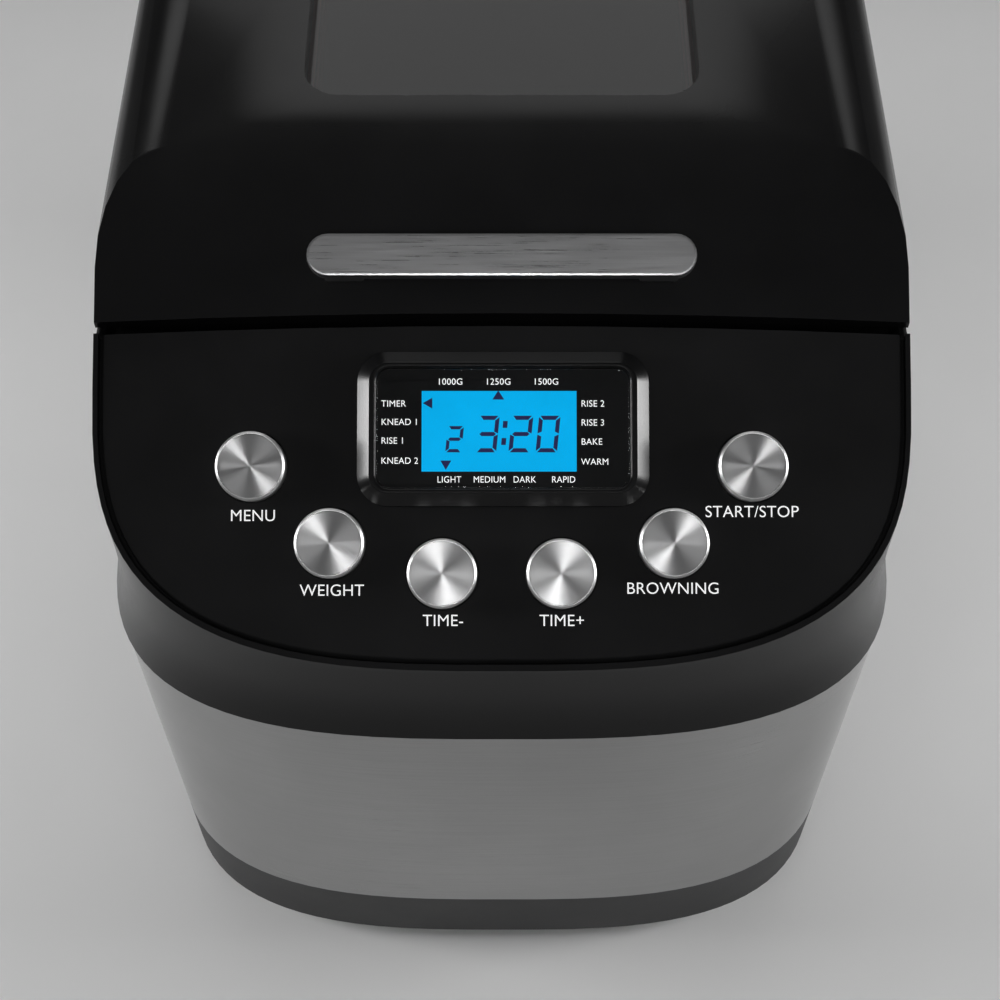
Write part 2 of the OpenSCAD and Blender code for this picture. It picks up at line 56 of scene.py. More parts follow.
# ---------------------------------------------------------------- shader helpers
class Mat:
    def __init__(self, name):
        self.m = bpy.data.materials.new(name)
        self.m.use_nodes = True
        self.t = self.m.node_tree
        self.t.nodes.clear()
        self.out = self.n("ShaderNodeOutputMaterial")
        self.b = self.n("ShaderNodeBsdfPrincipled")
        self.t.links.new(self.b.outputs[0], self.out.inputs["Surface"])
        self.co = self.n("ShaderNodeTexCoord").outputs["Object"]

    def n(self, kind, **kw):
        node = self.t.nodes.new(kind)
        for k, v in kw.items():
            setattr(node, k, v)
        return node

    def set(self, node, **kw):
        for k, v in kw.items():
            k = k.replace("_", " ")
            node.inputs[k].default_value = v
        return node

    def link(self, a, b):
        self.t.links.new(a, b)

    def mapped(self, scale):
        mp = self.n("ShaderNodeMapping")
        mp.inputs["Scale"].default_value = scale
        self.link(self.co, mp.inputs["Vector"])
        return mp.outputs[0]

    def noise(self, scale, detail=3.0, rough=0.55, vec=None, dist=0.0):
        nz = self.n("ShaderNodeTexNoise")
        nz.inputs["Scale"].default_value = scale
        nz.inputs["Detail"].default_value = detail
        nz.inputs["Roughness"].default_value = rough
        nz.inputs["Distortion"].default_value = dist
        self.link(vec if vec is not None else self.co, nz.inputs["Vector"])
        return nz.outputs["Fac"]

    def ramp(self, fac, a, b, lo=0.0, hi=1.0):
        mr = self.n("ShaderNodeMapRange")
        mr.inputs["From Min"].default_value = lo
        mr.inputs["From Max"].default_value = hi
        mr.inputs["To Min"].default_value = a
        mr.inputs["To Max"].default_value = b
        self.link(fac, mr.inputs["Value"])
        return mr.outputs[0]

    def mix(self, fac, a, b):
        mx = self.n("ShaderNodeMix", data_type="RGBA")
        for i, v in ((6, a), (7, b)):
            if hasattr(v, "is_linked"):
                self.link(v, mx.inputs[i])
            else:
                mx.inputs[i].default_value = (*v, 1.0)
        if hasattr(fac, "is_linked"):
            self.link(fac, mx.inputs[0])
        else:
            mx.inputs[0].default_value = fac
        return mx.outputs[2]

    def bump(self, height, strength, distance, normal=None):
        bp = self.n("ShaderNodeBump")
        bp.inputs["Strength"].default_value = strength
        bp.inputs["Distance"].default_value = distance
        self.link(height, bp.inputs["Height"])
        if normal is not None:
            self.link(normal, bp.inputs["Normal"])
        return bp.outputs[0]

    def wear(self, radius, gain=1.0):
        """0 on flat faces, towards 1 on convex edges."""
        bv = self.n("ShaderNodeBevel", samples=4)
        bv.inputs["Radius"].default_value = radius
        geo = self.n("ShaderNodeNewGeometry")
        dot = self.n("ShaderNodeVectorMath", operation="DOT_PRODUCT")
        self.link(bv.outputs[0], dot.inputs[0])
        self.link(geo.outputs["Normal"], dot.inputs[1])
        return self.ramp(dot.outputs["Value"], gain, 0.0, 0.75, 1.0)


def plastic(name, col, rough=0.45, grain=0.25, bump=0.25, spec=0.5, coat=0.0, var=0.25, depth=0.00003):
    """Moulded plastic: spark-eroded grain of that size in mm, with slow variation in tone and polish."""
    k = Mat(name)
    fine = k.noise(1000.0 / grain, 2.0, 0.6)
    slow = k.noise(18.0, 4.0, 0.6)
    c2 = tuple(min(1.0, c * (1 + var) + 0.002) for c in col)
    c1 = tuple(c * (1 - var) for c in col)
    tone = k.mix(k.ramp(slow, 0.0, 1.0, 0.3, 0.7), c1, c2)
    tone = k.mix(k.ramp(fine, 0.0, 0.35, 0.35, 0.75), tone, tuple(min(1.0, c * 1.6 + 0.004) for c in col))
    k.link(tone, k.b.inputs["Base Color"])
    k.link(k.ramp(slow, rough - 0.05, rough + 0.06, 0.3, 0.7), k.b.inputs["Roughness"])
    k.b.inputs["Specular IOR Level"].default_value = spec
    if coat:
        k.b.inputs["Coat Weight"].default_value = coat
        k.b.inputs["Coat Roughness"].default_value = 0.03
    if bump:
        k.link(k.bump(fine, bump, depth), k.b.inputs["Normal"])
    return k.m


def two_finish(name, col, rough, spec, up_col, up_rough, up_spec, grain=0.30, bump=0.07, depth=0.00003, axis=(0.0, -math.sin(SLOPE), math.cos(SLOPE))):
    """Black plastic that is satin on its walls and matte on faces square to axis, by default those in the panel's slope."""
    k = Mat(name)
    fine = k.noise(1000.0 / grain, 2.0, 0.6)
    slow = k.noise(18.0, 4.0, 0.6)
    dot = k.n("ShaderNodeVectorMath", operation="DOT_PRODUCT")
    k.link(k.n("ShaderNodeTexCoord").outputs["Normal"], dot.inputs[0])
    dot.inputs[1].default_value = axis
    up = k.ramp(dot.outputs["Value"], 0.0, 1.0, 0.93, 0.985)

    def tones(c):
        a = k.mix(k.ramp(slow, 0.0, 1.0, 0.3, 0.7), tuple(v * 0.8 for v in c), tuple(v * 1.2 + 0.001 for v in c))
        return k.mix(k.ramp(fine, 0.0, 0.35, 0.35, 0.75), a, tuple(v * 1.6 + 0.003 for v in c))

    k.link(k.mix(up, tones(col), tones(up_col)), k.b.inputs["Base Color"])
    rg = k.n("ShaderNodeMath", operation="ADD")
    k.link(k.ramp(up, rough, up_rough), rg.inputs[0])
    k.link(k.ramp(slow, -0.03, 0.04, 0.3, 0.7), rg.inputs[1])
    k.link(rg.outputs[0], k.b.inputs["Roughness"])
    k.link(k.ramp(up, spec, up_spec), k.b.inputs["Specular IOR Level"])
    k.link(k.bump(fine, bump, depth), k.b.inputs["Normal"])
    return k.m


def metal(name, col, rough=0.3, grain=(1, 1, 1), lines=1500.0, bump=0.15, tint=0.12, aniso=0.0, smudge=0.1):
    """Sheet, ground or cast metal; grain stretches the marks along one way."""
    k = Mat(name)
    v = k.mapped(grain)
    fine = k.noise(lines, 4.0, 0.65, v)
    slow = k.noise(9.0, 5.0, 0.6)
    tone = k.mix(k.ramp(fine, 0.0, 1.0, 0.3, 0.7), tuple(c * (1 - tint) for c in col), tuple(min(1, c * (1 + tint)) for c in col))
    tone = k.mix(k.ramp(slow, 0.0, 0.3, 0.4, 0.75), tone, tuple(c * 0.8 for c in col))
    k.link(tone, k.b.inputs["Base Color"])
    k.b.inputs["Metallic"].default_value = 1.0
    mixr = k.n("ShaderNodeMath", operation="ADD")
    k.link(k.ramp(fine, rough - 0.05, rough + 0.05, 0.3, 0.7), mixr.inputs[0])
    k.link(k.ramp(slow, 0.0, smudge, 0.4, 0.8), mixr.inputs[1])
    k.link(mixr.outputs[0], k.b.inputs["Roughness"])
    if aniso:
        k.b.inputs["Anisotropic"].default_value = aniso
        k.b.inputs["Anisotropic Rotation"].default_value = 0.25
        tg = k.n("ShaderNodeTangent", direction_type="RADIAL", axis="Z")
        k.link(tg.outputs[0], k.b.inputs["Tangent"])
    if bump:
        k.link(k.bump(fine, bump, 0.00002), k.b.inputs["Normal"])
    return k.m


def spun(name):
    """Turned aluminium: concentric tool marks, so its highlights open into bright and dark wedges."""
    k = Mat(name)
    sep = k.n("ShaderNodeSeparateXYZ")
    k.link(k.co, sep.inputs[0])
    xx = k.n("ShaderNodeMath", operation="MULTIPLY"); k.link(sep.outputs[0], xx.inputs[0]); k.link(sep.outputs[0], xx.inputs[1])
    yy = k.n("ShaderNodeMath", operation="MULTIPLY_ADD"); k.link(sep.outputs[1], yy.inputs[0]); k.link(sep.outputs[1], yy.inputs[1]); k.link(xx.outputs[0], yy.inputs[2])
    rad = k.n("ShaderNodeMath", operation="SQRT"); k.link(yy.outputs[0], rad.inputs[0])
    cmb = k.n("ShaderNodeCombineXYZ"); k.link(rad.outputs[0], cmb.inputs[0])
    rings = k.noise(9000.0, 3.0, 0.7, cmb.outputs[0])
    slow = k.noise(160.0, 3.0, 0.6)
    tone = k.mix(k.ramp(rings, 0.0, 1.0, 0.25, 0.75), (0.40, 0.40, 0.405), (0.60, 0.60, 0.605))
    tone = k.mix(k.ramp(rad.outputs[0], 0.0, 0.85, 0.00966, 0.00972), tone, (0.86, 0.86, 0.86))
    k.link(tone, k.b.inputs["Base Color"])
    k.b.inputs["Metallic"].default_value = 1.0
    # the turned face ends at the chamfered rim, which is plainly polished
    rim = k.ramp(rad.outputs[0], 0.0, 1.0, 0.00966, 0.00972)
    rgh = k.n("ShaderNodeMath", operation="MULTIPLY_ADD")
    k.link(rim, rgh.inputs[0]); rgh.inputs[1].default_value = 0.05
    k.link(k.ramp(slow, 0.34, 0.37, 0.3, 0.7), rgh.inputs[2])
    k.link(rgh.outputs[0], k.b.inputs["Roughness"])
    k.link(k.ramp(rim, 1.0, 0.15), k.b.inputs["Anisotropic"])
    k.b.inputs["Anisotropic Rotation"].default_value = 0.25
    tg = k.n("ShaderNodeTangent", direction_type="RADIAL", axis="Z")
    k.link(tg.outputs[0], k.b.inputs["Tangent"])
    k.link(k.bump(rings, 0.12, 0.00002), k.b.inputs["Normal"])
    return k.m


def clear(name, tint, rough=0.02, ior=1.49, see=1.0):
    """A thin clear sheet: light goes straight through it and a little is mirrored."""
    k = Mat(name)
    tr = k.n("ShaderNodeBsdfTransparent")
    gl = k.n("ShaderNodeBsdfGlossy")
    smear = k.noise(30.0, 4.0, 0.6)
    k.link(k.mix(k.ramp(smear, 0.0, 1.0, 0.3, 0.7), tint, tuple(c * 0.94 for c in tint)), tr.inputs["Color"])
    k.link(k.ramp(smear, rough, rough + 0.05, 0.45, 0.8), gl.inputs["Roughness"])
    fr = k.n("ShaderNodeFresnel")
    fr.inputs["IOR"].default_value = ior
    mul = k.n("ShaderNodeMath", operation="MULTIPLY")
    k.link(fr.outputs[0], mul.inputs[0])
    mul.inputs[1].default_value = see
    ms = k.n("ShaderNodeMixShader")
    k.link(mul.outputs[0], ms.inputs[0])
    k.link(tr.outputs[0], ms.inputs[1])
    k.link(gl.outputs[0], ms.inputs[2])
    k.link(ms.outputs[0], k.out.inputs["Surface"])
    k.t.nodes.remove(k.b)
    return k.m


def lit(name, col, strength, dark):
    """The display's lit field, with a faint unevenness from its light guide."""
    k = Mat(name)
    slow = k.noise(45.0, 2.0, 0.5)
    fine = k.noise(5200.0, 1.0, 0.5)
    tone = k.mix(k.ramp(slow, 0.0, 1.0, 0.3, 0.7), tuple(c * 0.94 for c in col), col)
    tone = k.mix(k.ramp(fine, 0.0, 0.12, 0.3, 0.7), tone, dark)
    k.link(tone, k.b.inputs["Emission Color"])
    k.b.inputs["Emission Strength"].default_value = strength
    k.b.inputs["Base Color"].default_value = (0.0, 0.01, 0.03, 1)
    k.b.inputs["Roughness"].default_value = 0.5
    k.b.inputs["Specular IOR Level"].default_value = 0.05
    return k.m


def ink_and_glow(name, col, rough=0.5, emit=0.0):
    """Screen-printed ink, a little uneven in thickness. emit adds a glow: on the printed legends it is painted light
    standing in for lamp light; on the display segments it is the backlight showing through.
    """
    k = Mat(name)
    n1 = k.noise(2600.0, 3.0, 0.6)
    tone = k.mix(k.ramp(n1, 0.0, 1.0, 0.35, 0.7), tuple(c * 0.86 for c in col), col)
    k.link(tone, k.b.inputs["Base Color"])
    k.b.inputs["Roughness"].default_value = rough
    # emission: a painted glow on the printed legends, the backlight through the segments on the display
    if emit:
        k.link(tone, k.b.inputs["Emission Color"])
        k.b.inputs["Emission Strength"].default_value = emit
    k.link(k.bump(n1, 0.2, 0.00001), k.b.inputs["Normal"])
    return k.m


def nonstick(name):
    k = Mat(name)
    vo = k.n("ShaderNodeTexVoronoi")
    vo.inputs["Scale"].default_value = 900.0
    k.link(k.co, vo.inputs["Vector"])
    slow = k.noise(40.0, 5.0, 0.6)
    speck = k.ramp(vo.outputs["Distance"], 1.0, 0.0, 0.10, 0.2)
    base = k.mix(k.ramp(slow, 0, 1, 0.3, 0.7), (0.022, 0.022, 0.024), (0.04, 0.04, 0.042))
    k.link(k.mix(speck, base, (0.13, 0.13, 0.135)), k.b.inputs["Base Color"])
    k.link(k.ramp(slow, 0.34, 0.5, 0.3, 0.7), k.b.inputs["Roughness"])
    k.b.inputs["Metallic"].default_value = 0.15
    k.link(k.bump(k.noise(1500.0, 3.0), 0.3, 0.00003), k.b.inputs["Normal"])
    return k.m


def heater(name):
    k = Mat(name)
    slow = k.noise(60.0, 4.0, 0.6)
    fine = k.noise(1200.0, 3.0, 0.6)
    tone = k.mix(k.ramp(slow, 0, 1, 0.35, 0.65), (0.10, 0.085, 0.075), (0.22, 0.19, 0.16))
    tone = k.mix(k.ramp(fine, 0, 0.4, 0.4, 0.7), tone, (0.06, 0.06, 0.065))
    k.link(tone, k.b.inputs["Base Color"])
    k.b.inputs["Metallic"].default_value = 0.8
    k.link(k.ramp(fine, 0.4, 0.6, 0.3, 0.7), k.b.inputs["Roughness"])
    k.link(k.bump(fine, 0.3, 0.00003), k.b.inputs["Normal"])
    return k.m


M = {
    "black_matte": two_finish("black_matte", (0.0026, 0.0026, 0.0028), 0.24, 0.27, (0.0068, 0.0068, 0.0072), 0.60, 0.07),
    "panel_black": plastic("panel_black", (0.0102, 0.0102, 0.0106), 0.66, 0.22, 0.45, spec=0.06),
    "bezel_gloss": two_finish("bezel_gloss", (0.004, 0.004, 0.0043), 0.24, 0.40, (0.004, 0.004, 0.0043), 0.38, 0.09, grain=0.5, bump=0.04, axis=(0.0, 0.0, 1.0)),
    "base_black": plastic("base_black", (0.014, 0.014, 0.015), 0.5, 0.35, 0.35),
    "stainless": metal("stainless", (0.39, 0.39, 0.39), 0.30, (0.012, 0.012, 1.0), 2600.0, 0.18, 0.10, aniso=0.55),
    "button_metal": spun("button_metal"),
    "rubber": plastic("rubber", (0.018, 0.018, 0.018), 0.7, 0.5, 0.5, spec=0.3),
    "clear_lens": clear("clear_lens", (0.98, 0.985, 0.985), 0.03, 1.45, 0.35),
    "lens_mask": plastic("lens_mask", (0.0118, 0.0118, 0.0124), 0.5, 0.3, 0.05, spec=0.05),
    "lcd_blue": lit("lcd_blue", (0.0, 0.44, 0.88), 1.06, (0.0, 0.38, 0.80)),
    "white_plastic": plastic("white_plastic", (0.75, 0.75, 0.72), 0.5, 0.4, 0.2, var=0.04),
    "circuit_board": plastic("circuit_board", (0.012, 0.11, 0.035), 0.3, 1.2, 0.3, var=0.3),
    "component_black": plastic("component_black", (0.02, 0.02, 0.021), 0.5, 0.4, 0.35),
    "component_mixed": plastic("component_mixed", (0.42, 0.28, 0.03), 0.45, 0.6, 0.3),
    "aluminised_steel": metal("aluminised_steel", (0.56, 0.57, 0.58), 0.36, (1, 1, 0.35), 900.0, 0.25, 0.10, smudge=0.16),
    "galvanised": metal("galvanised", (0.5, 0.52, 0.54), 0.42, (1, 1, 1), 140.0, 0.2, 0.18, smudge=0.2),
    "heater_sheath": heater("heater_sheath"),
    "cast_grey": metal("cast_grey", (0.34, 0.34, 0.35), 0.5, (1, 1, 1), 1400.0, 0.5, 0.14),
    "spring_steel": metal("spring_steel", (0.55, 0.55, 0.56), 0.28, (1, 1, 1), 1500.0, 0.12, 0.08),
    "bright_steel": metal("bright_steel", (0.72, 0.72, 0.72), 0.16, (1, 1, 6), 2000.0, 0.08, 0.05, aniso=0.4, smudge=0.05),
    "bronze": metal("bronze", (0.52, 0.33, 0.15), 0.4, (1, 1, 1), 2200.0, 0.4, 0.16),
    "motor_steel": metal("motor_steel", (0.22, 0.23, 0.24), 0.45, (0.05, 0.05, 1), 1800.0, 0.5, 0.2),
    "screw_zinc": metal("screw_zinc", (0.6, 0.6, 0.58), 0.3, (1, 1, 1), 2500.0, 0.2, 0.1),
    "silicone_red": plastic("silicone_red", (0.35, 0.03, 0.02), 0.55, 0.6, 0.2),
    "window_glass": clear("window_glass", (0.50, 0.52, 0.53), 0.015, 1.5, 1.0),
    "handle_silver": metal("handle_silver", (0.62, 0.62, 0.63), 0.3, (0.02, 1, 1), 2200.0, 0.12, 0.07, smudge=0.06),
    "nonstick": nonstick("nonstick"),
    "sensor_brass": metal("sensor_brass", (0.62, 0.47, 0.2), 0.3, (1, 1, 1), 1800.0, 0.15, 0.1),
    # label_white and lcd_label: painted light, the printed legends glow as if lit by a lamp
    "label_white": ink_and_glow("label_white", (0.88, 0.88, 0.88), 0.5, 0.66),
    "lcd_label": ink_and_glow("lcd_label", (0.86, 0.86, 0.86), 0.5, 0.95),
    "lcd_ink": ink_and_glow("lcd_ink", (0.010, 0.010, 0.11), 0.6, 0.22),
}

SLOT = {s["node"]: s["material_slot"] for s in frame["record"]["subparts"]}
for n, o in NODES.items():
    o.data.materials.clear()
    o.data.materials.append(M[SLOT[n]])


# ---------------------------------------------------------------- edge softening for CAD nodes
def smooth_group(limit_deg):
    g = bpy.data.node_groups.new("soft_edges_%d" % limit_deg, "GeometryNodeTree")
    g.interface.new_socket("Geometry", in_out="INPUT", socket_type="NodeSocketGeometry")
    g.interface.new_socket("Geometry", in_out="OUTPUT", socket_type="NodeSocketGeometry")
    i = g.nodes.new("NodeGroupInput"); o = g.nodes.new("NodeGroupOutput")
    mg = g.nodes.new("GeometryNodeMergeByDistance"); mg.inputs["Distance"].default_value = 2e-6
    sf = g.nodes.new("GeometryNodeSetShadeSmooth"); sf.domain = "FACE"
    se = g.nodes.new("GeometryNodeSetShadeSmooth"); se.domain = "EDGE"
    ang = g.nodes.new("GeometryNodeInputMeshEdgeAngle")
    cp = g.nodes.new("FunctionNodeCompare"); cp.data_type = "FLOAT"; cp.operation = "GREATER_THAN"
    cp.inputs[1].default_value = math.radians(limit_deg)
    L = g.links.new
    L(i.outputs[0], mg.inputs[0]); L(mg.outputs[0], sf.inputs[0])
    sf.inputs["Shade Smooth"].default_value = True
    L(sf.outputs[0], se.inputs[0]); L(ang.outputs["Unsigned Angle"], cp.inputs[0]); L(cp.outputs[0], se.inputs["Selection"])
    se.inputs["Shade Smooth"].default_value = False
    L(se.outputs[0], o.inputs[0])
    return g


SG = smooth_group(32)


def soften(o, width=0.0, segs=2, planar=True):
    if width:
        wd = o.modifiers.new("weld", "WELD"); wd.merge_threshold = 2e-6
        if planar:
            dc = o.modifiers.new("planar", "DECIMATE"); dc.decimate_type = "DISSOLVE"; dc.angle_limit = math.radians(0.6)
        bv = o.modifiers.new("edge", "BEVEL"); bv.width = width * MM; bv.segments = segs
        bv.limit_method = "ANGLE"; bv.angle_limit = math.radians(38); bv.harden_normals = False
        bv.use_clamp_overlap = True; bv.miter_outer = "MITER_ARC"
    md = o.modifiers.new("soft", "NODES"); md.node_group = SG
    if width:
        wn = o.modifiers.new("even", "WEIGHTED_NORMAL"); wn.keep_sharp = True; wn.weight = 60


BEVELS = {"control_panel": 0.55, "top_housing": 0.5, "lid_shell": 0.8, "base_tray": 0.6, "lid_handle": 1.2,
          "rubber_feet": 0.8, "steel_jacket": 0.0, "bread_pan": 0.5, "kneading_paddle": 0.9, "oven_chamber": 0.3,
          "lid_liner": 0.3, "pan_seat": 0.3, "pan_coupling": 0.4, "drive_socket": 0.4, "large_pulley": 0.4,
          "motor_body": 0.8, "motor_capacitor": 1.0, "board_parts": 0.5, "bearing_bracket": 0.5, "pan_handle": 0.25,
          "cord_gland": 0.3, "window_gasket": 0.2, "lcd_lens": 0.35}
for n, o in NODES.items():
    soften(o, BEVELS.get(n, 0.0), planar=n != "lid_shell")


# ---------------------------------------------------------------- mesh helpers
def mesh_object(name, verts, faces, material, body, matrix=None, smooth=35.0, scale=MM):
    me = bpy.data.meshes.new(name)
    me.from_pydata([tuple(c * scale for c in v) for v in verts], [], faces)
    bm = bmesh.new(); bm.from_mesh(me)
    bmesh.ops.recalc_face_normals(bm, faces=bm.faces)
    for f in bm.faces:
        f.smooth = True
    bm.to_mesh(me); bm.free()
    me.set_sharp_from_angle(angle=math.radians(smooth))
    me.materials.append(M[material])
    ob = bpy.data.objects.new(name, me)
    bpy.context.scene.collection.objects.link(ob)
    if matrix is not None:
        ob.matrix_world = matrix
    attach(ob, body)
    return ob


def rrect(w, d, r, n=10):
    pts = []
    for cx, cy, a0 in ((w / 2 - r, d / 2 - r, 0), (-w / 2 + r, d / 2 - r, 90), (-w / 2 + r, -d / 2 + r, 180), (w / 2 - r, -d / 2 + r, 270)):
        for i in range(n + 1):
            a = math.radians(a0 + 90.0 * i / n)
            pts.append((cx + r * math.cos(a), cy + r * math.sin(a)))
    return pts


def loft(rings, closed_loop=False):
    """Quads between rings of equal length; the last ring joins the first if closed_loop."""
    verts, faces = [], []
    m = len(rings[0])
    for ring in rings:
        verts += ring
    k = len(rings)
    for j in range(k if closed_loop else k - 1):
        a, b = j * m, ((j + 1) % k) * m
        for i in range(m):
            i2 = (i + 1) % m
            faces.append((a + i, a + i2, b + i2, b + i))
    return verts, faces


def lathe(profile, n=96):
    rings = []
    verts, faces = [], []
    idx = []
    for r, z in profile:
        if r < 1e-6:
            idx.append([len(verts)]); verts.append((0, 0, z))
        else:
            idx.append(list(range(len(verts), len(verts) + n)))
            verts += [(r * math.cos(2 * math.pi * i / n), r * math.sin(2 * math.pi * i / n), z) for i in range(n)]
    for a, b in zip(idx, idx[1:]):
        for i in range(n):
            j = (i + 1) % n
            if len(a) == 1:
                faces.append((a[0], b[j], b[i]))
            elif len(b) == 1:
                faces.append((a[i], a[j], b[0]))
            else:
                faces.append((a[i], a[j], b[j], b[i]))
    return verts, faces


# ---------------------------------------------------------------- display bezel
BX, BY = 0.4, 70.3
BEZ = [  # width, depth, corner radius, height
    (79.4, 38.4, 4.7, -3.0), (79.4, 38.4, 4.7, 0.0),
    (88.8, 47.3, 9.5, 0.0), (88.8, 47.3, 9.5, 1.1), (88.72, 47.22, 9.45, 1.22), (88.5, 47.0, 9.35, 1.34),
    (81.4, 39.9, 5.9, 4.22), (81.1, 39.6, 5.75, 4.38), (80.8, 39.3, 5.6, 4.44),
    (77.9, 37.7, 4.85, 4.44), (77.75, 37.55, 4.8, 4.40), (77.68, 37.48, 4.75, 4.3),
    (77.5, 37.35, 4.6, 3.5), (77.3, 37.1, 4.5, 3.44), (77.1, 36.8, 4.4, 3.3),
    (77.0, 36.6, 4.3, 2.9), (77.0, 36.6, 4.1, 1.2), (72.0, 32.0, 3.0, 1.2), (72.0, 32.0, 3.0, -3.0)]
v, f = loft([[(x + 0.0, y + 0.0, z) for x, y in rrect(w, d, r, 12)] for w, d, r, z in BEZ], closed_loop=True)
bezel = mesh_object("display_bezel", v, f, "bezel_gloss", "housing", on_panel(BX, BY), smooth=50)
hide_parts("lcd_bezel")

# ---------------------------------------------------------------- buttons
BUTTONS = [("menu", -76, 58.8), ("weight", -52, 35.5), ("time_minus", -18, 26.4), ("time_plus", 18, 26.4), ("crust", 52, 35.5), ("start", 76, 58.8)]
CAP = [(0, 3.64), (0.3, 3.645), (0.6, 3.66), (2.5, 3.67), (5.0, 3.68), (7.5, 3.69), (9.5, 3.70), (9.56, 3.55), (9.66, 3.55),
       (9.72, 3.84), (9.82, 3.88), (9.92, 3.87), (10.44, 3.40), (10.54, 3.28), (10.6, 3.1), (10.6, -1.5), (9.9, -1.5), (9.9, 2.9), (0, 2.9)]
for name, x, y in BUTTONS:
    v, f = lathe(CAP, 128)
    cap = mesh_object(name + "_cap_spun", v, f, "button_metal", name + "_button", on_panel(x, y), smooth=28)
    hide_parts(name + "_button_cap")


# ---------------------------------------------------------------- lettering and display figures
# ---------------------------------------------------------------- round lugs under the four liner screws
LUG = [(2.2, 270.95), (5.2, 270.95), (5.45, 271.0), (5.6, 271.2), (5.6, 271.9), (5.5, 272.04), (2.2, 272.04)]
for i, (x, y) in enumerate(((-111, -54), (111, -54), (-111, 130), (111, 130))):
    v, f = lathe(LUG + [LUG[0]], 64)
    mesh_object("liner_lug_%d" % (i + 1), v, f, "aluminised_steel", "lid", Matrix.Translation((x * MM, y * MM, 0.0)), smooth=50)


def words(name, text, x, y, z, cap, material, body="housing", align="CENTER", squeeze=1.0, weight=-0.004, spacing=1.04):
    cu = bpy.data.curves.new(name, "FONT")
    cu.body = text
    cu.size = cap / 0.70 * MM
    cu.align_x = align
    cu.align_y = "CENTER"
    cu.extrude = 0.012 * MM
    cu.offset = weight * MM
    cu.space_character = spacing
    cu.resolution_u = 6
    tmp = bpy.data.objects.new(name + "_t", cu)
    bpy.context.scene.collection.objects.link(tmp)
    bpy.context.view_layer.update()
    me = bpy.data.meshes.new_from_object(tmp.evaluated_get(bpy.context.evaluated_depsgraph_get()))
    bpy.data.objects.remove(tmp)
    me.transform(Matrix.Diagonal((squeeze, 1.0, 1.0, 1.0)))
    me.materials.clear()
    me.materials.append(M[material])
    ob = bpy.data.objects.new(name, me)
    bpy.context.scene.collection.objects.link(ob)
    ob.matrix_world = on_panel(x, y, z)
    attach(ob, body)
    return ob


for key, text, x, y in (("menu", "MENU", -75.4, 43.8), ("weight", "WEIGHT", -51.3, 21.2), ("time_minus", "TIME-", -17.7, 12.1),
                        ("time_plus", "TIME+", 18.2, 12.1), ("crust", "BROWNING", 51.7, 21.8), ("start", "START/STOP", 75.8, 45.0)):
    words("label_" + key, text, x, y, 0.03, 3.5, "label_white", weight=-0.02, spacing=1.02)

SMALL = 1.95
ZL = 1.86
for i, (t, x) in enumerate((("1000G", -15.7), ("1250G", -1.1), ("1500G", 13.4))):
    words("weight_%d" % i, t, x, 84.5, ZL, SMALL, "lcd_label")
for i, (t, y) in enumerate((("TIMER", 77.8), ("KNEAD 1", 72.2), ("RISE 1", 66.5), ("KNEAD 2", 60.4))):
    words("stage_left_%d" % i, t, -36.6, y, ZL, SMALL, "lcd_label", align="LEFT", squeeze=0.96)
for i, (t, y) in enumerate((("RISE 2", 77.8), ("RISE 3", 72.0), ("BAKE", 66.2), ("WARM", 60.1))):
    words("stage_right_%d" % i, t, 24.0, y, ZL, SMALL, "lcd_label", align="LEFT", squeeze=0.96)
for i, (t, x) in enumerate((("LIGHT", -15.9), ("MEDIUM", -3.7), ("DARK", 6.9), ("RAPID", 18.7))):
    words("shade_%d" % i, t, x, 54.7, ZL, SMALL, "lcd_label", squeeze=0.92)


